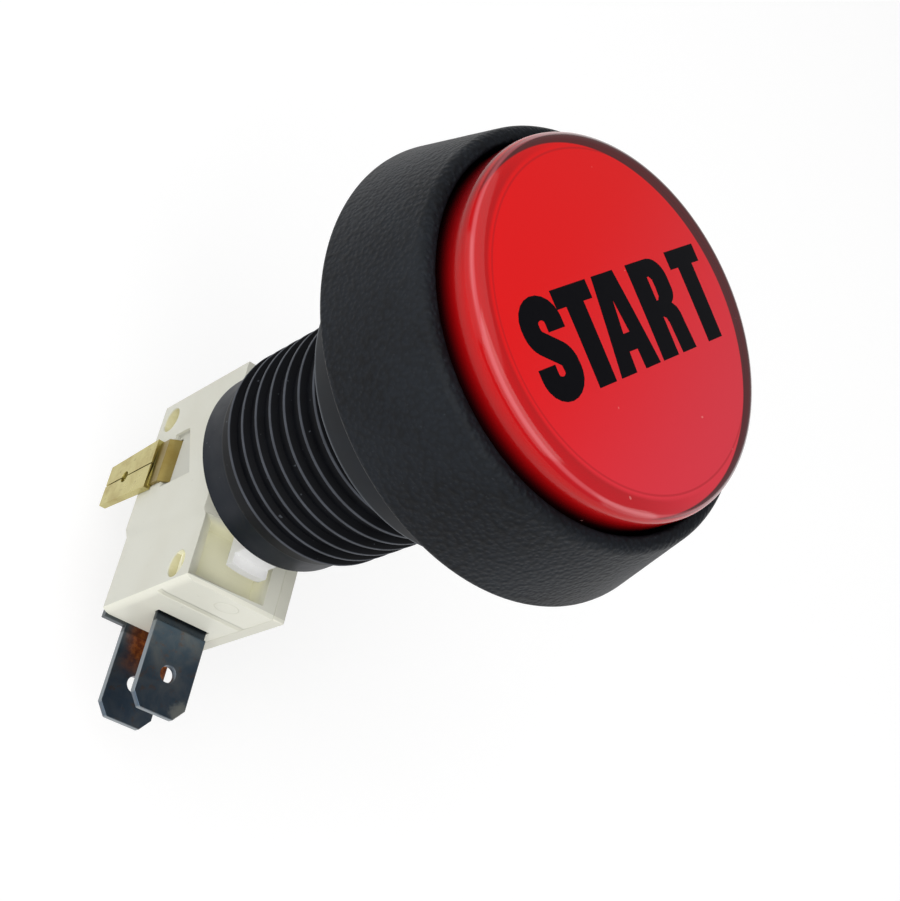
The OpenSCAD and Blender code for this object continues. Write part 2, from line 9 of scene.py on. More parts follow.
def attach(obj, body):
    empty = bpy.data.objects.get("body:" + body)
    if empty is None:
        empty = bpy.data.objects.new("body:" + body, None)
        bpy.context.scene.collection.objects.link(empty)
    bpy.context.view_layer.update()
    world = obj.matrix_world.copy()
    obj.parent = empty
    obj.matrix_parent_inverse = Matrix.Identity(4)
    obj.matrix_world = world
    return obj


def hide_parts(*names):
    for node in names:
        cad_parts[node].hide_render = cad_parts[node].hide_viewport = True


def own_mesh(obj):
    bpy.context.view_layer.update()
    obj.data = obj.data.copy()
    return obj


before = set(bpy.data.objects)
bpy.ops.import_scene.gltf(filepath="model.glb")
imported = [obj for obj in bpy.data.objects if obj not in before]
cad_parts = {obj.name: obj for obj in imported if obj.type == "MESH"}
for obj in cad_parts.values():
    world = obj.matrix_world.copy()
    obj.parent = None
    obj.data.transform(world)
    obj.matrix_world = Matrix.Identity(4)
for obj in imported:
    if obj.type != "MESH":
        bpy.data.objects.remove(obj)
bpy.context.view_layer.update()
MM = 0.001


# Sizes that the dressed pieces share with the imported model, in millimetres

BEZEL_REAR_R = 21.0
BEZEL_LIP_R = 18.75
BEZEL_H = 9.9
BEZEL_BORE_R = 17.1
BEZEL_FLOOR = 1.8
SEAT_RECESS = 0.6
SEAT_RIM_R = 18.4
CREST_R = 11.5
CORE_R = 10.9
BAND_R = 10.7
BORE_R = 9.3
BARREL_END = -34.1
THREAD_START = -1.6
THREAD_END = -29.2
PITCH = 2.33
LEDGE_Z = (-27.0, -25.0)
LEDGE_R = 7.1
LEDGE_HALF_ANGLE = 1.17
NUT_R = 14.65
NUT_REAR = -9.6
LENS_R = 16.7
LENS_RIM_Z = 13.4
LENS_DOME = 0.3
LENS_ROUND = 1.5
LENS_REAR = 5.0
LENS_INNER_R = 15.2
LENS_INNER_Z = 11.7
RECESS_Z = -46.6
DIMPLES = ((9.4, -53.2, -6.25), (-11.75, -41.3, -5.85))  # y, z, and x of the face that each is sunk in
POCKET_LIP_Y = -13.2
BLOCK_END_Y = -14.1
BLOCK_FRONT_Z = -38.1
BLOCK_STEP_X = -6.3
SLOT_X = 5.7
STRIP_X = 6.3
SLOT_LEAN = 1.6
STRIP_LEAN = 2.6
FLOOR_Z = -70.2


# Modelling helpers

def deselect():
    """Leaves object mode with nothing selected."""
    if bpy.context.object and bpy.context.object.mode != "OBJECT":
        bpy.ops.object.mode_set(mode="OBJECT")
    bpy.ops.object.select_all(action="DESELECT")


def keep(name):
    """Names the new piece and its mesh, and puts its place into the mesh."""
    piece = bpy.context.object
    piece.name = name
    piece.data.name = name
    bpy.ops.object.transform_apply(location=True, rotation=True, scale=True)
    return piece


def edit(piece):
    """Opens one piece in edit mode with all of it selected."""
    deselect()
    bpy.context.view_layer.objects.active = piece
    piece.select_set(True)
    bpy.ops.object.mode_set(mode="EDIT")
    bpy.ops.mesh.select_mode(type="VERT")
    bpy.ops.mesh.select_all(action="SELECT")


def done():
    """Closes edit mode."""
    bpy.ops.object.mode_set(mode="OBJECT")


def tidy(piece, merge=0.01):
    """Merges doubled points and turns every face outwards."""
    edit(piece)
    bpy.ops.mesh.remove_doubles(threshold=merge * MM)
    bpy.ops.mesh.normals_make_consistent(inside=False)
    done()


def modify(piece, kind, **settings):
    """Adds one modifier to a piece and applies it."""
    deselect()
    bpy.context.view_layer.objects.active = piece
    piece.select_set(True)
    mod = piece.modifiers.new(kind.title(), kind)
    for key, value in settings.items():
        setattr(mod, key, value)
    bpy.ops.object.modifier_apply(modifier=mod.name)


def smooth(piece, angle=30):
    """Shades a piece smooth, with sharp edges above an angle."""
    deselect()
    bpy.context.view_layer.objects.active = piece
    piece.select_set(True)
    bpy.ops.object.shade_smooth_by_angle(angle=radians(angle))


def outline(name, points, closed=True):
    """A wire of points in millimetres, drawn by extruding one vertex along it."""
    deselect()
    bpy.ops.mesh.primitive_plane_add(size=1 * MM)
    piece = keep(name)
    edit(piece)
    bpy.ops.mesh.merge(type="CENTER")
    bpy.ops.transform.translate(value=Vector(points[0]) * MM)
    for a, b in zip(points, points[1:]):
        bpy.ops.mesh.extrude_vertices_move(TRANSFORM_OT_translate={"value": (Vector(b) - Vector(a)) * MM})
    bpy.ops.mesh.select_all(action="SELECT")
    done()
    if closed:
        edges = bmesh.new()
        edges.from_mesh(piece.data)
        edges.verts.ensure_lookup_table()
        ends = [v for v in edges.verts if len(v.link_edges) == 1]
        edges.edges.new(ends)
        edges.to_mesh(piece.data)
        edges.free()
    return piece


def turned(name, profile, steps=144, angle=2 * pi, start=0.0):
    """A turned piece: the profile (radius, height) in millimetres, spun about the button's axis."""
    points = [(r * cos(start), r * sin(start), z) for r, z in profile]
    piece = outline(name, points, closed=profile[0][0] > 0 or angle < 2 * pi)
    edit(piece)
    bpy.ops.mesh.spin(steps=steps, angle=angle, center=(0, 0, 0), axis=(0, 0, 1))
    done()
    return piece


def arc(x, z, r, a0, a1, n=8):
    """Points of a circular arc, in degrees."""
    return [(x + r * cos(radians(a0 + (a1 - a0) * i / n)), z + r * sin(radians(a0 + (a1 - a0) * i / n)))
            for i in range(n + 1)]


def shift(piece, where, by):
    """Moves the points that meet a condition on their place in millimetres."""
    for v in piece.data.vertices:
        if where(*(v.co / MM)):
            v.co += Vector(by) * MM


def cut(piece, at, normal):
    """Cuts the faces of a piece along a plane."""
    edit(piece)
    bpy.ops.mesh.bisect(plane_co=Vector(at) * MM, plane_no=normal)
    done()


def round_edges(piece, where, width, segments=5):
    """Rounds the edges that meet a condition on the places of their two ends in millimetres."""
    edit(piece)
    bpy.ops.mesh.select_mode(type="EDGE")
    bpy.ops.mesh.select_all(action="DESELECT")
    mesh = bmesh.from_edit_mesh(piece.data)
    for e in mesh.edges:
        if where(*(v.co / MM for v in e.verts)):
            e.select_set(True)
    bmesh.update_edit_mesh(piece.data)
    bpy.ops.mesh.bevel(offset=width * MM, segments=segments, affect="EDGES", clamp_overlap=True)
    done()


def copied(node, name):
    """A copy of a CAD node with its doubled points merged and its flat faces joined."""
    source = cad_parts[node]
    deselect()
    bpy.context.view_layer.objects.active = source
    source.select_set(True)
    bpy.ops.object.duplicate()
    piece = bpy.context.object
    piece.name = name
    piece.data.name = name
    piece.data.materials.clear()
    tidy(piece, 0.002)
    edit(piece)
    bpy.ops.mesh.dissolve_limited(angle_limit=radians(2))
    done()
    return piece


def closed_ends(piece):
    """Fills the open ends of a swept piece."""
    edit(piece)
    bpy.ops.mesh.select_all(action="DESELECT")
    bpy.ops.mesh.select_mode(type="EDGE")
    bpy.ops.mesh.select_non_manifold()
    bpy.ops.mesh.edge_face_add()
    done()
    tidy(piece, 0.001)
    smooth(piece, 35)
    return piece


def softened(piece, width, angle=40, segments=3):
    """Softens the sharp edges of a piece, and keeps its flat faces flat."""
    modify(piece, "BEVEL", width=width * MM, segments=segments, limit_method="ANGLE",
           angle_limit=radians(angle), use_clamp_overlap=True)
    tidy(piece, 0.002)
    smooth(piece, 35)
    modify(piece, "WEIGHTED_NORMAL", keep_sharp=True)
    return piece


# Shader helpers

class Sock:
    """A shader socket that takes part in plain arithmetic."""

    def __init__(self, mat, out):
        self.mat = mat
        self.out = out

    def _math(self, op, *values):
        return self.mat.node("ShaderNodeMath", {"operation": op}, dict(enumerate(values)))

    def __add__(self, other):
        return self._math("ADD", self, other)

    __radd__ = __add__

    def __sub__(self, other):
        return self._math("SUBTRACT", self, other)

    def __rsub__(self, other):
        return self._math("SUBTRACT", other, self)

    def __mul__(self, other):
        return self._math("MULTIPLY", self, other)

    __rmul__ = __mul__

    def __truediv__(self, other):
        return self._math("DIVIDE", self, other)

    def __pow__(self, other):
        return self._math("POWER", self, other)

    def __gt__(self, other):
        return self._math("GREATER_THAN", self, other)

    def __lt__(self, other):
        return self._math("LESS_THAN", self, other)

    def __abs__(self):
        return self._math("ABSOLUTE", self)


class Finish:
    """One material: its nodes are added in the order in which they are asked for."""

    def __init__(self, name, roughness=0.5, metallic=0.0, **plain):
        self.mat = bpy.data.materials.new(name)
        self.mat.use_nodes = True
        self.tree = self.mat.node_tree
        self.shader = self.tree.nodes["Principled BSDF"]
        self.shader.inputs["Roughness"].default_value = roughness
        self.shader.inputs["Metallic"].default_value = metallic
        for key, value in plain.items():
            self.shader.inputs[key.replace("_", " ").title().replace("Ior", "IOR")].default_value = value
        self.place = self.node("ShaderNodeTexCoord", out="Object")
        self.normal = None

    def node(self, kind, settings=None, values=None, out=0):
        """Adds one node with its settings and the values or links of its sockets."""
        made = self.tree.nodes.new(kind)
        for key, value in (settings or {}).items():
            setattr(made, key, value)
        for key, value in (values or {}).items():
            self.feed(made.inputs[key], value)
        return Sock(self, made.outputs[out])

    def feed(self, socket, value):
        """Links a socket to another one, or sets its value."""
        if isinstance(value, Sock):
            self.tree.links.new(value.out, socket)
        else:
            socket.default_value = value

    def noise(self, scale, detail=3.0, rough=0.5, stretch=None, distortion=0.0):
        """Noise with a scale in features per millimetre."""
        place = self.place
        if stretch:
            place = self.node("ShaderNodeMapping", None, {"Vector": place, "Scale": stretch})
        return self.node("ShaderNodeTexNoise", None, {"Vector": place, "Scale": scale * 1000, "Detail": detail,
                                                      "Roughness": rough, "Distortion": distortion})

    def cells(self, scale, feature="F1"):
        """Cell pattern with a scale in features per millimetre."""
        return self.node("ShaderNodeTexVoronoi", {"feature": feature},
                         {"Vector": self.place, "Scale": scale * 1000}, "Distance")

    def ramp(self, value, low, high):
        """0 below low, 1 above high."""
        return self.node("ShaderNodeMapRange", {"interpolation_type": "SMOOTHSTEP"},
                         {"Value": value, "From Min": low, "From Max": high})

    def axes(self):
        """Object coordinates in millimetres."""
        split = self.node("ShaderNodeSeparateXYZ", None, {0: self.place})
        node = split.out.node
        return [Sock(self, node.outputs[i]) * 1000 for i in range(3)]

    def mix(self, mask, a, b):
        """Colour a where the mask is 0, colour b where it is 1."""
        made = self.tree.nodes.new("ShaderNodeMix")
        made.data_type = "RGBA"
        for i, value in ((0, mask), (6, a), (7, b)):
            self.feed(made.inputs[i], value)
        return Sock(self, made.outputs[2])

    def bump(self, height, strength, distance=0.05):
        """Adds a bump to those before it. Distance is in millimetres."""
        values = {"Height": height, "Strength": strength, "Distance": distance * MM}
        if self.normal:
            values["Normal"] = self.normal
        self.normal = self.node("ShaderNodeBump", None, values)

    def set(self, **sockets):
        """Links or sets sockets of the shader, and links the bump."""
        for key, value in sockets.items():
            self.feed(self.shader.inputs[key.replace("_", " ").title()], value)
        if self.normal:
            self.tree.links.new(self.normal.out, self.shader.inputs["Normal"])
        return self.mat


def srgb(r, g, b):
    """A colour from its 0 to 255 screen values."""
    def lin(c):
        c /= 255
        return c / 12.92 if c < 0.04045 else ((c + 0.055) / 1.055) ** 2.4
    return (lin(r), lin(g), lin(b), 1.0)


# Materials

def textured_black():
    """Moulded black with a fine leathery grain, worn a little lighter on its high spots."""
    f = Finish("bezel_black", specular_ior_level=0.18)
    grain = f.cells(2.5, "SMOOTH_F1")
    fine = f.noise(4.5, 4, 0.6)
    patch = f.noise(0.09, 2, 0.5)
    high = f.ramp(grain + fine * 0.5, 0.45, 0.95)
    colour = f.mix(high, srgb(17, 21, 27), srgb(9, 11, 15))
    colour = f.mix(f.ramp(patch, 0.35, 0.7) * 0.3, colour, srgb(36, 42, 49))
    specks = f.ramp(f.noise(2.4, 1), 0.74, 0.8)
    colour = f.mix(specks * 0.25, colour, srgb(70, 76, 82))
    f.bump(grain, 1.0, 0.12)
    f.bump(fine, 0.6, 0.06)
    return f.set(base_color=colour, roughness=0.4 + fine * 0.22)


def barrel_black():
    """Plain black moulding of the barrel, with a patchy painted highlight along its thread crests."""
    f = Finish("barrel_black", specular_ior_level=0.08)
    x, y, z = f.axes()
    radius = (x * x + y * y) ** 0.5
    # Painted highlight: the thread crests are lightened, patchy with the wear noise.
    crest = f.ramp(radius, CREST_R - 0.09, CREST_R - 0.02)
    band = (z < THREAD_END - 0.9) * f.ramp(radius, BAND_R - 0.3, BAND_R - 0.1)
    wear = f.noise(0.5, 3)
    fine = f.noise(4, 3)
    colour = f.mix(f.ramp(wear, 0.3, 0.7), srgb(5, 6, 10), srgb(8, 10, 15))
    colour = f.mix(band * 0.8, colour, srgb(14, 22, 33))
    colour = f.mix(crest * (0.4 + wear * 0.6), colour, srgb(88, 92, 100))
    specks = f.ramp(f.noise(1.9, 1), 0.75, 0.8)
    colour = f.mix(specks * 0.5, colour, srgb(90, 95, 102))
    f.bump(fine, 0.12, 0.02)
    return f.set(base_color=colour, roughness=0.36 + wear * 0.16)


def nut_grey():
    """Smooth dark grey ring nut with a painted highlight along its rear edge."""
    f = Finish("nut_grey", specular_ior_level=0.15)
    x, y, z = f.axes()
    # Painted highlight: a pale line along the rear outer edge.
    edge = 1 - f.ramp(abs(z - (NUT_REAR + 0.2)), 0.05, 0.35)
    radius = (x * x + y * y) ** 0.5
    edge = edge * f.ramp(radius, NUT_R - 0.6, NUT_R - 0.25)
    blotch = f.noise(0.35, 3)
    turning = f.noise(0.3, 3, 0.6, stretch=(1, 1, 18))
    colour = f.mix(f.ramp(blotch, 0.3, 0.75), srgb(14, 17, 22), srgb(22, 26, 32))
    colour = f.mix(edge * 0.55, colour, srgb(110, 116, 124))
    f.bump(turning, 0.1, 0.02)
    return f.set(base_color=colour, roughness=0.34 + blotch * 0.2)


def lens_red():
    """Polished red lens: a painted reflection veil on one side, painted shade on its rounded edge and side wall, a ring
    where the diffuser's edge shows through, a painted dark crescent along the far rim, and a painted highlight line on
    the rim.
    """
    f = Finish("lens_red", coat_roughness=0.12, ior=1.49, specular_ior_level=0.15)
    x, y, z = f.axes()
    radius = (x * x + y * y) ** 0.5
    wash = f.noise(0.03, 1)
    # Painted reflection: a pale pink veil over the face, growing towards one side.
    side = f.ramp(x * 0.9 - y * 0.35 + wash * 6, -6, 20)
    face = f.mix(side, srgb(230, 4, 8), srgb(222, 52, 68))
    # Painted shade: a darker red band on the rounded edge, on the near side only.
    band = f.ramp(radius, 14.9, 15.3) * (1 - f.ramp(x + y, -14, 4))
    face = f.mix(band * 0.7, face, srgb(168, 12, 18))
    inner = f.ramp(radius, 14.6, 14.72) * (1 - f.ramp(radius, 14.76, 14.9))
    face = f.mix(inner * 0.4, face, srgb(150, 10, 20))
    # Painted shade: a dark crescent along the far part of the rim, where the shaded inside would show through the clear
    # edge.
    far = ((x + 1.0) ** 2 + (y + 1.35) ** 2) ** 0.5
    face = f.mix(f.ramp(far, 15.62, 15.76) * f.ramp(z, 12.5, 12.9) * 0.93, face, srgb(60, 30, 33))
    # Painted highlight: a thin pink line on the rounded rim.
    line = f.ramp(radius, 16.12, 16.25) * (1 - f.ramp(radius, 16.32, 16.46)) * (z > LENS_RIM_Z - 1.1)
    face = f.mix(line * 0.35, face, srgb(236, 120, 128))
    # Painted light and shade on the side wall: brighter red on one side, nearly black at its base.
    wall = f.ramp(radius, 16.5, 16.68)
    depth = f.ramp(LENS_RIM_Z - z, 1.2, 3.9)
    glow = f.mix(f.ramp(y + x * 0.3, -13, 2), srgb(196, 6, 10), srgb(118, 8, 14))
    glow = f.mix(depth, glow, srgb(40, 3, 6))
    face = f.mix(wall, face, glow)
    dust = f.ramp(f.noise(1.1, 1, 0.4), 0.785, 0.81)
    face = f.mix(dust * 0.35, face, srgb(250, 170, 165))
    f.bump(f.noise(0.05, 2), 0.05, 0.1)
    return f.set(base_color=face, roughness=0.1 + f.noise(0.4, 3) * 0.08,
                 coat_weight=0.75 - f.ramp(radius, 16.2, 16.6) * 0.6)


def legend_black():
    """Printed black of the legend."""
    f = Finish("legend_black", coat_weight=0.1, coat_roughness=0.12, specular_ior_level=0.1)
    grain = f.noise(2.0, 3)
    colour = f.mix(grain, srgb(3, 3, 8), srgb(7, 7, 12))
    return f.set(base_color=colour, roughness=0.14 + grain * 0.1)


def cream_moulding(name, tint=0.0):
    """Cream moulded block: matte, a little translucent, with painted shade in its dimples (yellower), terminal recess,
    groove and ejector ring, and painted light in its pocket and on its lower end face.
    """
    f = Finish(name, roughness=0.42)
    x, y, z = f.axes()
    broad = f.noise(0.09, 2)
    fine = f.noise(2.6, 4, 0.6)
    pits = f.cells(2.2)
    colour = f.mix(f.ramp(broad, 0.3, 0.7), srgb(224, 224, 212), srgb(218, 217, 203))
    # Painted shade: yellower and darker inside the dimples.
    for cy, cz, face in DIMPLES:
        away = ((y - cy) ** 2 + (z - cz) ** 2) ** 0.5
        near = (1 - f.ramp(away, 1.6, 1.8)) * f.ramp(x, face, face + 0.2) * (x < -4)
        colour = f.mix(near * 0.9, colour, srgb(214, 208, 164))
    # Painted shade in the recess around the lamp terminal's root.
    recess_shade = (x > -6.0) * (x < -5.5) * (y > -0.4) * (y < 6.6) * (z > -51) * (z < -44)
    colour = f.mix(recess_shade * 0.7, colour, srgb(196, 196, 186))
    # Painted light: the inside of the pocket is lightened, less so towards its ramp.
    pocket = (x > -5.8) * (x < 3.4) * (y > -13.3) * (y < -6.5) * (1 - f.ramp(z, -40.2, -38.1)) * (z > -42)
    colour = f.mix(pocket * (0.9 - f.ramp(y, -10.5, -12.5) * 0.5), colour, srgb(254, 252, 226))
    end = (y < -13.95) * (x > -5.75) * (x < 4.9)
    # Painted light: the lower end face is lightened.
    colour = f.mix((y < -13.6) * 0.9, colour, srgb(252, 251, 236))
    # Groove and ejector ring: real marks drawn by bump, with painted shade in them.
    groove = end * f.ramp(z, -44.7, -44.4) * (1 - f.ramp(z, -43.7, -43.4))
    away = ((x - 0.6) ** 2 + (z + 40.6) ** 2) ** 0.5
    ring = end * f.ramp(away, 1.15, 1.25) * (1 - f.ramp(away, 1.3, 1.4))
    colour = f.mix(groove * 0.3 + ring * 0.15, colour, srgb(190, 188, 158))
    grime = f.ramp(f.noise(0.8, 3), 0.66, 0.78)
    colour = f.mix(grime * 0.12, colour, srgb(176, 168, 140))
    if tint:
        colour = f.mix(tint, colour, srgb(200, 198, 182))
    f.bump(fine, 0.18, 0.03)
    f.bump(pits, 0.05, 0.02)
    f.bump(1 - groove - ring * 0.4, 0.6, 0.15)
    return f.set(base_color=colour, roughness=0.36 + fine * 0.18)


def white_moulding():
    """Glossy white of the plunger and switch button."""
    f = Finish("plunger_white", roughness=0.3, coat_weight=0.25, coat_roughness=0.2)
    fine = f.noise(1.4, 3)
    colour = f.mix(fine, srgb(238, 238, 238), srgb(228, 228, 226))
    f.bump(fine, 0.08, 0.03)
    return f.set(base_color=colour, roughness=0.24 + fine * 0.16)


def sheet_brass():
    """Stamped brass with drawing lines along the blade, darker above a height towards its root."""
    f = Finish("sheet_brass", roughness=0.28, metallic=1.0)
    drawn = f.noise(1.2, 4, 0.6, stretch=(1, 9, 0.6))
    patina = f.noise(0.35, 4, 0.6)
    x, y, z = f.axes()
    colour = f.mix(f.ramp(patina, 0.4, 0.72), srgb(190, 180, 116), srgb(168, 152, 88))
    colour = f.mix(f.ramp(drawn, 0.55, 0.75) * 0.35, colour, srgb(212, 204, 148))
    # Darker above a height, towards the strip's root.
    colour = f.mix((z > -52.6) * 0.75, colour, srgb(118, 98, 50))
    spots = f.ramp(f.noise(1.3, 2), 0.68, 0.75)
    colour = f.mix(spots * 0.5, colour, srgb(112, 88, 40))
    f.bump(drawn, 0.2, 0.02)
    return f.set(base_color=colour, roughness=0.2 + patina * 0.2)


def blued_steel(name, tint, worn):
    """Blued steel tab. tint is the height below which heat has turned it orange, worn the corner rubbed bare."""
    f = Finish(name, roughness=0.3, metallic=1.0)
    x, y, z = f.axes()
    cloud = f.noise(0.32, 4, 0.6, distortion=0.4)
    rolled = f.noise(1.5, 4, 0.6, stretch=(5, 0.6, 1))
    blotch = f.noise(1.1, 4, 0.65)
    colour = f.mix(f.ramp(cloud, 0.35, 0.7), srgb(84, 100, 116), srgb(112, 118, 124))
    colour = f.mix(f.ramp(blotch, 0.54, 0.7) * 0.65, colour, srgb(112, 96, 88))
    edge = f.ramp(abs(x - 0.4), 3.0, 3.12) + (1 - f.ramp(y, -24.46, -24.36))
    colour = f.mix(f.ramp(rolled, 0.6, 0.8) * 0.35, colour, srgb(132, 138, 148))
    if tint is not None:
        heat = f.ramp(y + cloud * 3.0, tint, tint + 3.2) * f.ramp(x + cloud * 2.0, -1.6, 0.4)
        glow = f.mix(f.ramp(blotch, 0.35, 0.65), srgb(214, 120, 44), srgb(130, 62, 30))
        colour = f.mix(heat * 0.9, colour, glow)
    if worn is not None:
        away = ((x - worn[0]) ** 2 + (y - worn[1]) ** 2) ** 0.5
        rub = 1 - f.ramp(away + blotch * 1.6, 1.3, 2.4)
        colour = f.mix(rub * 0.85, colour, srgb(176, 178, 172))
    colour = f.mix(edge * 0.55, colour, srgb(150, 156, 158))
    # Painted shade: dark where the tab meets the block.
    root = f.ramp(y, -15.3, -15.0)
    colour = f.mix(root * 0.6, colour, srgb(26, 28, 30))
    f.bump(rolled, 0.25, 0.03)
    f.bump(blotch, 0.15, 0.03)
    return f.set(base_color=colour, roughness=0.26 + cloud * 0.2)


def bright_metal(name, a, b, rough):
    """Plain small metal parts: springs, rivets, contact strip."""
    f = Finish(name, roughness=rough, metallic=1.0)
    fine = f.noise(1.6, 4, 0.6)
    colour = f.mix(f.ramp(fine, 0.35, 0.7), a, b)
    f.bump(fine, 0.15, 0.02)
    return f.set(base_color=colour, roughness=rough * 0.8 + fine * 0.15)


def clear_glass():
    """Lamp glass."""
    f = Finish("lamp_glass", roughness=0.03, alpha=0.3, ior=1.5)
    smear = f.noise(0.3, 3)
    colour = f.mix(smear, srgb(226, 232, 236), srgb(240, 243, 245))
    return f.set(base_color=colour, roughness=0.02 + smear * 0.06)


def milky(name, a, b):
    """Diffuser and legend film."""
    f = Finish(name, roughness=0.4)
    fine = f.noise(0.9, 3)
    colour = f.mix(fine, a, b)
    f.bump(fine, 0.05, 0.02)
    return f.set(base_color=colour, roughness=0.32 + fine * 0.12)


mats = {
    "bezel": textured_black(),
    "barrel": barrel_black(),
    "nut": nut_grey(),
    "lens": lens_red(),
    "legend": legend_black(),
    "case": cream_moulding("block_cream"),
    "cover": cream_moulding("cover_cream", 0.25),
    "white": white_moulding(),
    "brass": sheet_brass(),
    "tab_front": blued_steel("blued_front", None, (3.0, -23.6)),
    "tab_rear": blued_steel("blued_rear", -18.6, None),
    "wire": bright_metal("spring_wire", srgb(168, 170, 172), srgb(198, 200, 202), 0.3),
    "rivet": bright_metal("contact_silver", srgb(206, 204, 198), srgb(226, 224, 220), 0.24),
    "copper": bright_metal("contact_copper", srgb(186, 124, 84), srgb(206, 150, 104), 0.3),
    "glass": clear_glass(),
    "film": milky("legend_film", srgb(226, 40, 44), srgb(220, 28, 34)),
    "diffuser": milky("diffuser_milk", srgb(240, 238, 234), srgb(232, 230, 226)),
    "filament": bright_metal("lamp_wire", srgb(92, 94, 98), srgb(120, 122, 126), 0.35),
}


def dress(node, mat):
    """Gives a CAD node its finish."""
    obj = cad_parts[node]
    obj.data.materials.clear()
    obj.data.materials.append(mats[mat])


def finish(piece, mat, body, slot, *nodes):
    """Gives a new piece its finish and its body, and hides the CAD nodes it stands for."""
    piece.data.materials.clear()
    piece.data.materials.append(mats[mat])
    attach(piece, body)
    if nodes:
        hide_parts(*nodes)
    return piece


for node, mat in {"legend_plate": "film", "diffuser": "diffuser", "lamp_glass": "glass",
                  "lamp_filament": "filament", "lamp_leads": "wire", "switch_button": "white",
                  "contact_blade": "copper", "snap_leaf": "copper",
                  "moving_contact": "rivet", "fixed_contact": "rivet"}.items():
    dress(node, mat)


# Bezel, barrel and thread

def make_bezel():
    """The tapered bezel, with its rear recess and the bore that the lens sinks into."""
    taper = degrees(atan2(BEZEL_REAR_R - BEZEL_LIP_R, BEZEL_H - 0.9))
    lip = 1.0
    profile = [(CORE_R - 0.2, SEAT_RECESS), (SEAT_RIM_R, SEAT_RECESS), (SEAT_RIM_R, 0.1), (SEAT_RIM_R + 0.1, 0)]
    profile += arc(BEZEL_REAR_R - 0.45, 0.45, 0.45, -90, taper, 5)
    profile += arc(BEZEL_LIP_R - lip * cos(radians(taper)) - 0.1, BEZEL_H - lip, lip, taper, 90, 8)
    profile += arc(BEZEL_BORE_R + 0.35, BEZEL_H - 0.35, 0.35, 90, 180, 5)
    profile += [(BEZEL_BORE_R, BEZEL_FLOOR), (CORE_R - 0.2, BEZEL_FLOOR)]
    piece = turned("bezel", profile, 192)
    tidy(piece)
    smooth(piece, 35)
    return finish(piece, "bezel", "base", "housing", "housing")


def make_barrel():
    """The barrel without its thread, with the plain band at its end."""
    profile = [(BORE_R, BEZEL_FLOOR + 0.02), (CORE_R, BEZEL_FLOOR + 0.02), (CORE_R, THREAD_END - 0.6),
               (BAND_R + 0.12, THREAD_END - 1.0), (BAND_R, THREAD_END - 1.2)]
    profile += arc(BAND_R - 0.25, BARREL_END + 0.25, 0.25, 0, -90, 4)
    profile += [(BORE_R + 0.1, BARREL_END), (BORE_R, BARREL_END + 0.1)]
    piece = turned("barrel_tube", profile, 144)
    tidy(piece)
    smooth(piece, 35)
    return finish(piece, "barrel", "base", "housing")


def make_thread():
    """The thread: one crest profile screwed along the barrel, run out to nothing at both ends."""
    points = [(CORE_R - 0.15, 0, -0.62), (CORE_R, 0, -0.55), (CREST_R - 0.06, 0, -0.18), (CREST_R, 0, -0.12),
              (CREST_R, 0, 0.12), (CREST_R - 0.06, 0, 0.18), (CORE_R, 0, 0.55), (CORE_R - 0.15, 0, 0.62)]
    piece = outline("thread", [(x, y, z + THREAD_END) for x, y, z in points])
    turns = (THREAD_START - THREAD_END) / PITCH
    modify(piece, "SCREW", axis="Z", angle=2 * pi * turns, screw_offset=PITCH * turns * MM, steps=int(turns * 96),
           render_steps=int(turns * 96), use_normal_calculate=True)
    for v in piece.data.vertices:
        x, y, z = v.co / MM
        r = sqrt(x * x + y * y)
        fade = max(0.02, min(1.0, (z - THREAD_END + 0.2) / 1.2, (THREAD_START - z + 0.2) / 1.2))
        if r > CORE_R:
            new = CORE_R + (r - CORE_R) * fade
            v.co = Vector((x * new / r, y * new / r, z)) * MM
    return finish(closed_ends(piece), "barrel", "base", "housing")


def make_ledge():
    """Two arcs inside the barrel that the lamp holder's lugs lock behind."""
    rear, front = LEDGE_Z
    outer = BORE_R + 0.2
    profile = [(LEDGE_R, rear), (outer, rear), (outer, front), (LEDGE_R, front)]
    for i in range(2):
        piece = turned("bayonet_ledge_%d" % (i + 1), profile, 36, 2 * LEDGE_HALF_ANGLE, i * pi - LEDGE_HALF_ANGLE)
        finish(closed_ends(piece), "barrel", "base", "housing")


def make_nut():
    """The ring nut, screwed up against the bezel."""
    profile = arc(NUT_R - 0.4, SEAT_RECESS - 0.4, 0.4, 90, 0, 4) + arc(NUT_R - 0.4, NUT_REAR + 0.4, 0.4, 0, -90, 4)
    profile += arc(CREST_R + 0.5, NUT_REAR + 0.4, 0.4, -90, -180, 3)
    profile += arc(CREST_R + 0.5, SEAT_RECESS - 0.4, 0.4, 180, 90, 3)
    piece = turned("ring_nut", profile, 144)
    tidy(piece)
    smooth(piece, 35)
    return finish(piece, "nut", "base", "nut", "panel_nut")


def dome(x, y):
    """Height of the lens's face at a point, in millimetres."""
    r = sqrt(x * x + y * y) / (LENS_R - LENS_ROUND)
    return LENS_RIM_Z + LENS_DOME * (1 - min(r, 1) ** 2)


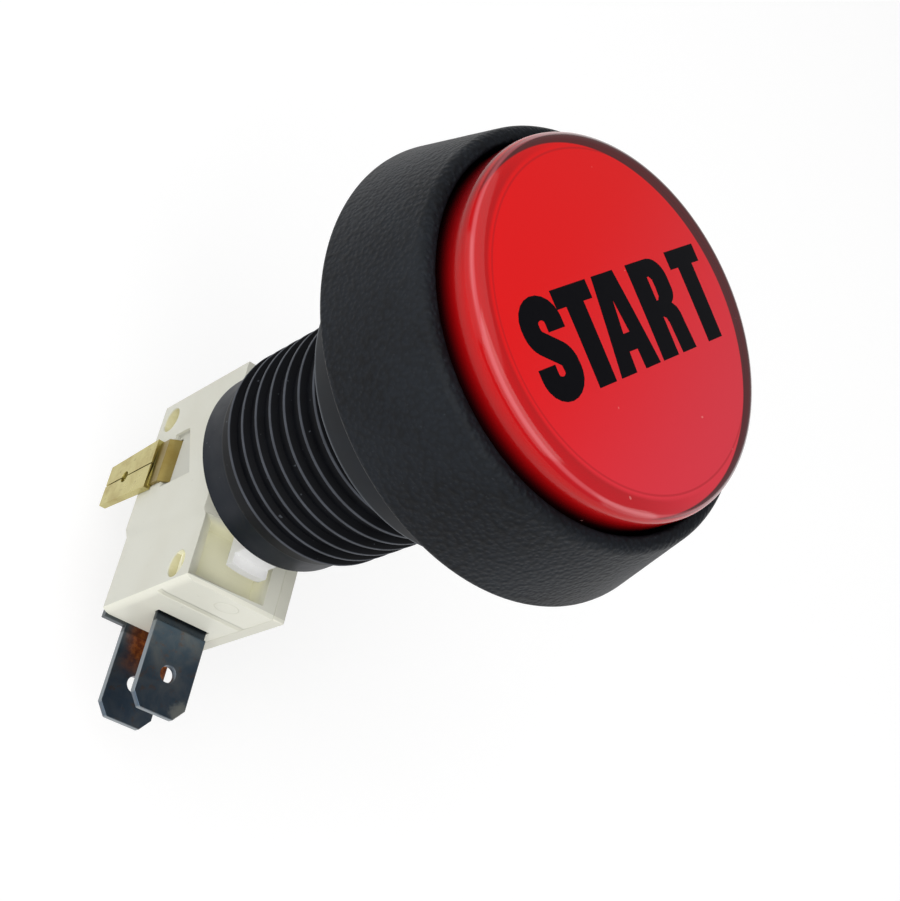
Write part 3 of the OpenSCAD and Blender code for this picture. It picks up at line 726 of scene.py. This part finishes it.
def make_lens():
    """The hollow lens cap, with a rounded rim and a slight crown."""
    round_in = 0.6
    inner = LENS_INNER_R - round_in
    profile = [(0, LENS_INNER_Z), (inner, LENS_INNER_Z)] + arc(inner, LENS_INNER_Z - round_in, round_in, 90, 0, 4)
    profile += [(LENS_INNER_R, LENS_REAR + 0.1), (LENS_INNER_R + 0.1, LENS_REAR)]
    profile += [(LENS_R - 0.1, LENS_REAR), (LENS_R, LENS_REAR + 0.1)]
    profile += arc(LENS_R - LENS_ROUND, LENS_RIM_Z - LENS_ROUND, LENS_ROUND, 0, 90, 12)
    rings = 10
    edge = LENS_R - LENS_ROUND
    profile += [(edge * (1 - i / rings), dome(edge * (1 - i / rings), 0)) for i in range(1, rings + 1)]
    piece = turned("lens_cap", profile, 192)
    tidy(piece)
    smooth(piece, 50)
    return finish(piece, "lens", "cap", "lens", "lens")


# Legend

def stroke(path, width):
    """Outline of a stroke of constant width along a path, as a closed polygon."""
    left, right = [], []
    for i, p in enumerate(path):
        a = path[max(i - 1, 0)]
        b = path[min(i + 1, len(path) - 1)]
        d = Vector((b[0] - a[0], b[1] - a[1])).normalized()
        n = Vector((-d.y, d.x)) * width / 2
        left.append((p[0] + n.x, p[1] + n.y))
        right.append((p[0] - n.x, p[1] - n.y))
    return left + right[::-1]


def bow(cx, cy, rx, ry, a0, a1, n=10):
    """Points of an elliptic arc, in degrees."""
    return [(cx + rx * cos(radians(a0 + (a1 - a0) * i / n)), cy + ry * sin(radians(a0 + (a1 - a0) * i / n)))
            for i in range(n + 1)]


H = 8.4  # height of the letters, in millimetres
W = 2.0  # width of the strokes of the S


# Each letter gives its outlines and its width, and the R its hole too

def letter_s():
    w = 4.75
    x0, x1 = W / 2, w - W / 2
    mid, rx, ry = w / 2, w / 2 - W / 2, 1.25
    top = H - W / 2 + 0.08 - ry
    low = W / 2 - 0.08 + ry
    path = [(x1, H * 0.645), (x1, top)] + bow(mid, top, rx, ry, 8, 180)
    path += [(x0, H * 0.70)] + bow(mid + 0.1, H * 0.70, rx + 0.1, 1.4, 195, 228, 4)
    path += bow(mid - 0.1, H * 0.30, rx + 0.1, 1.4, 48, 15, 4)
    path += [(x1, low)] + bow(mid, low, rx, ry, -8, -172) + [(x0, low), (x0, H * 0.355)]
    return [stroke(path, W)], w


def letter_t():
    w = 4.55
    m = w / 2
    s = 1.1
    return [[(0, H), (0, H - 1.6), (m - s, H - 1.6), (m - s, 0), (m + s, 0), (m + s, H - 1.6), (w, H - 1.6), (w, H)]], w


def letter_a():
    w = 5.5
    m = w / 2
    top = 1.45
    leg = 2.1
    left = [(0, 0), (m - top, H), (m, H), (m, H - 2.3), (m - 0.42, 3.25), (m, 3.25), (m, 1.75),
            (m - 0.56, 1.75), (leg, 0)]
    right = [(w - x, y) for x, y in left][::-1]
    return [left, right], w


def letter_r():
    w = 5.05
    stem = 2.25
    outer = [(0, 0), (0, H), (2.9, H)] + bow(2.9, H - 2.0, 2.05, 2.0, 85, 0, 6) + [(4.95, H - 2.9)]
    outer += bow(3.35, H - 3.05, 1.6, 1.3, -5, -60, 4)
    outer += [(4.6, 3.75), (4.8, 3.2), (4.85, 2.3), (w, 0), (2.95, 0), (2.78, 2.7), (2.6, 3.2), (stem, 3.4), (stem, 0)]
    y1 = H - 1.5
    y0 = H - 3.6
    hole = [(stem, y1), (2.5, y1), (2.78, y1 - 0.3), (2.82, y1 - 0.9), (2.76, y0 + 0.3), (2.5, y0), (stem, y0)]
    return [outer], w, hole


def make_legend():
    """The word on the lens: own plain condensed letters, laid on the crown of the lens."""
    turn = radians(45)
    thick = 0.03
    sunk = 0.018
    letters = [letter_s(), letter_t(), letter_a(), letter_r(), letter_t()]
    gaps = [-0.12, -0.48, 0.5, 0.85, 0]
    x = -12.75
    names = ["letter_1_s", "letter_2_t", "letter_3_a", "letter_4_r", "letter_5_t"]
    for name, letter, gap in zip(names, letters, gaps):
        deselect()
        bpy.ops.curve.primitive_bezier_circle_add(radius=1)
        piece = bpy.context.object
        piece.name = name
        curve = piece.data
        curve.dimensions = "2D"
        curve.fill_mode = "BOTH"
        curve.splines.clear()
        for points in letter[0] + ([letter[2]] if len(letter) > 2 else []):
            spline = curve.splines.new("POLY")
            spline.points.add(len(points) - 1)
            for p, q in zip(spline.points, points):
                p.co = (q[0] * MM, (q[1] - H / 2 - 0.1) * MM, 0, 1)
            spline.use_cyclic_u = True
        bpy.ops.object.convert(target="MESH")
        piece = bpy.context.object
        piece.location = (x * MM, 0, 0)
        bpy.ops.object.transform_apply(location=True, rotation=True, scale=True)
        edit(piece)
        for axis in range(2):
            for k in range(-26, 27):
                at = [0, 0, 0]
                normal = [0, 0, 0]
                at[axis] = k * 0.6 * MM
                normal[axis] = 1
                bpy.ops.mesh.select_all(action="SELECT")
                bpy.ops.mesh.bisect(plane_co=at, plane_no=normal)
        bpy.ops.mesh.select_all(action="SELECT")
        bpy.ops.mesh.remove_doubles(threshold=0.0005 * MM)
        bpy.ops.mesh.extrude_region_move(TRANSFORM_OT_translate={"value": (0, 0, thick * MM)})
        done()
        for v in piece.data.vertices:
            px = (v.co.x * cos(turn) - v.co.y * sin(turn)) / MM
            py = (v.co.x * sin(turn) + v.co.y * cos(turn)) / MM
            v.co = Vector((px, py, dome(px, py) - sunk + v.co.z / MM)) * MM
        tidy(piece, 0.0003)
        smooth(piece, 30)
        finish(piece, "legend", "cap", "legend")
        x += letter[1] + gap


make_bezel()
make_barrel()
make_thread()
make_ledge()
make_nut()
make_lens()
make_legend()


# Switch and lamp block with softened edges

def front_edge(at_y, least_x=-20):
    """A test for edges that lie on a line across the front of the block."""
    def on(p):
        return abs(p.y - at_y) < 0.02 and abs(p.z - BLOCK_FRONT_Z) < 0.02 and p.x > least_x
    return lambda a, b: on(a) and on(b)


def make_block():
    """The block, with a slanted front to the recess at its terminal, a soft step and the rounded lip of its pocket."""
    piece = copied("switch_case", "block_case")
    shift(piece, lambda x, y, z: x < -5.5 and abs(z - RECESS_Z) < 0.05 and y > 6, (0, 0, -1.0))
    shift(piece, lambda x, y, z: x < -5.5 and abs(z - RECESS_Z) < 0.05 and y < 0, (0, 0, 2.4))
    shift(piece, lambda x, y, z: abs(x - BLOCK_STEP_X) < 0.02 and -7.4 < y < -3.9, (0, 0.8, 0))
    round_edges(piece, front_edge(POCKET_LIP_Y), 0.42)
    round_edges(piece, front_edge(BLOCK_END_Y, -5), 0.42)
    lean_slot(piece, -1)
    softened(piece, 0.24)
    return finish(piece, "case", "base", "case", "switch_case")


def lean_slot(piece, side):
    """Moves the mouth of a terminal's slot to where the strip leans in."""
    shift(piece, lambda x, y, z: abs(side * x - SLOT_X) < 0.05 and -49 < z < -47.8, (0, 0, -SLOT_LEAN))


def make_cover():
    """The cover on the block's far side."""
    piece = copied("case_cover", "block_cover")
    lean_slot(piece, 1)
    softened(piece, 0.2)
    return finish(piece, "cover", "base", "case", "case_cover")


def make_ramp():
    """The hollow ramp inside the lip of the pocket."""
    points = [(-13.3, -38.7)] + arc(-10.2, -38.6, 3.0, 180, 270, 12) + [(-10.2, -41.8), (-13.3, -41.8)]
    piece = outline("pocket_ramp", [(-5.35, y, z) for y, z in points])
    edit(piece)
    bpy.ops.mesh.edge_face_add()
    bpy.ops.mesh.extrude_region_move(TRANSFORM_OT_translate={"value": (8.75 * MM, 0, 0)})
    done()
    tidy(piece)
    smooth(piece, 35)
    return finish(piece, "case", "base", "case")


def make_lamp_tab(node, name, side):
    """A lamp terminal whose strip leans in towards the block in front of the blade."""
    piece = copied(node, name)
    cut(piece, (side * (SLOT_X + 0.05), 0, 0), (1, 0, 0))
    shift(piece, lambda x, y, z: side * x > STRIP_X and z > -49, (0, 0, -STRIP_LEAN))
    shift(piece, lambda x, y, z: SLOT_X < side * x < SLOT_X + 0.1, (0, 0, -SLOT_LEAN))
    softened(piece, 0.06, segments=2)
    return finish(piece, "brass", "base", "brass", node)


def make_switch_tab(node, name, mat):
    """A steel tab with softened edges."""
    return finish(softened(copied(node, name), 0.09, segments=2), mat, "base", "tab", node)


def make_plunger():
    """The plunger, with the far end of its foot rounded off."""
    piece = copied("plunger", "plunger_body")
    shift(piece, lambda x, y, z: x > 1.9 and y < -9.3 and z < -34.2, (-0.6, 0, 0))
    round_edges(piece, lambda a, b: (a - b).xy.length < 0.01 and min(a.x, b.x) > 1.5 and a.y < -10.9, 0.8)
    softened(piece, 0.24, angle=50)
    return finish(piece, "white", "cap", "plunger", "plunger")


def make_spring(node, name):
    """A coil spring with a mesh of its own."""
    piece = copied(node, name)
    smooth(piece, 60)
    finish(piece, "wire", "base", "spring", node)
    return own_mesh(piece)


make_block()
make_ramp()
make_cover()
make_lamp_tab("lamp_terminal_near", "lamp_tab_near", -1)
make_lamp_tab("lamp_terminal_far", "lamp_tab_far", 1)
make_switch_tab("open_terminal", "switch_tab_front", "tab_front")
make_switch_tab("common_terminal", "switch_tab_rear", "tab_rear")
make_plunger()
make_spring("return_spring", "return_coil")
make_spring("button_spring", "button_coil")


# Camera, floor and light

def make_camera():
    """The camera where the photo was taken from, in metres."""
    deselect()
    bpy.ops.object.camera_add(location=(-0.06377, -0.06874, 0.08331))
    camera = bpy.context.object
    camera.name = "photo_camera"
    right = Vector((0.7366, 0.1862, 0.6502))
    back = Vector((-0.5022, -0.4934, 0.7102)).normalized()
    up = back.cross(right).normalized()
    right = up.cross(back)
    camera.rotation_euler = Matrix((right, up, back)).transposed().to_euler()
    camera.data.sensor_width = 36
    camera.data.lens = 57.34
    camera.data.clip_start = 0.005
    camera.data.clip_end = 10
    bpy.context.scene.camera = camera
    return camera


def make_floor():
    """A pale floor that keeps the shadow and looks white to the camera."""
    deselect()
    bpy.ops.mesh.primitive_plane_add(size=6, location=(0, 0, FLOOR_Z * MM))
    floor = bpy.context.object
    floor.name = "studio_floor"
    mat = bpy.data.materials.new("floor_pale")
    mat.use_nodes = True
    tree = mat.node_tree
    shader = tree.nodes["Principled BSDF"]
    shader.inputs["Base Color"].default_value = (0.45, 0.45, 0.45, 1)
    shader.inputs["Roughness"].default_value = 0.9
    glow = tree.nodes.new("ShaderNodeEmission")
    glow.inputs["Color"].default_value = (0.62, 0.62, 0.62, 1)
    seen = tree.nodes.new("ShaderNodeLightPath")
    strength = seen.outputs["Is Camera Ray"]
    for ray in ("Is Glossy Ray", "Is Transmission Ray"):
        total = tree.nodes.new("ShaderNodeMath")
        total.use_clamp = True
        tree.links.new(strength, total.inputs[0])
        tree.links.new(seen.outputs[ray], total.inputs[1])
        strength = total.outputs[0]
    both = tree.nodes.new("ShaderNodeAddShader")
    tree.links.new(strength, glow.inputs["Strength"])
    tree.links.new(shader.outputs[0], both.inputs[0])
    tree.links.new(glow.outputs[0], both.inputs[1])
    tree.links.new(both.outputs[0], tree.nodes["Material Output"].inputs["Surface"])
    floor.data.materials.append(mat)
    return floor


def area(name, place, target, size, power):
    """A square lamp that points at a target, in metres and watts."""
    deselect()
    bpy.ops.object.light_add(type="AREA", location=place)
    lamp = bpy.context.object
    lamp.name = name
    lamp.data.energy = power
    lamp.data.shape = "SQUARE"
    lamp.data.size = size
    way = Vector(target) - Vector(place)
    lamp.rotation_euler = way.to_track_quat("-Z", "Y").to_euler()
    return lamp


def make_light():
    """Even light from the world and four soft lamps."""
    world = bpy.data.worlds.new("studio")
    bpy.context.scene.world = world
    world.use_nodes = True
    world.node_tree.nodes["Background"].inputs["Color"].default_value = (1, 1, 1, 1)
    world.node_tree.nodes["Background"].inputs["Strength"].default_value = 0.25
    area("top_light", (-0.50, 0.35, 0.80), (0, 0, -0.02), 1.4, 3.6)
    area("key_light", (-0.32, -0.60, 0.68), (0, 0, -0.01), 1.2, 7.8)
    area("left_light", (-0.85, 0.0, 0.12), (0, 0, -0.04), 0.9, 3.3)
    area("side_light", (0.7, -0.45, 0.2), (0, 0, 0), 0.5, 1.2)


make_camera()
make_floor()
make_light()
bpy.context.scene.view_settings.view_transform = "Standard"
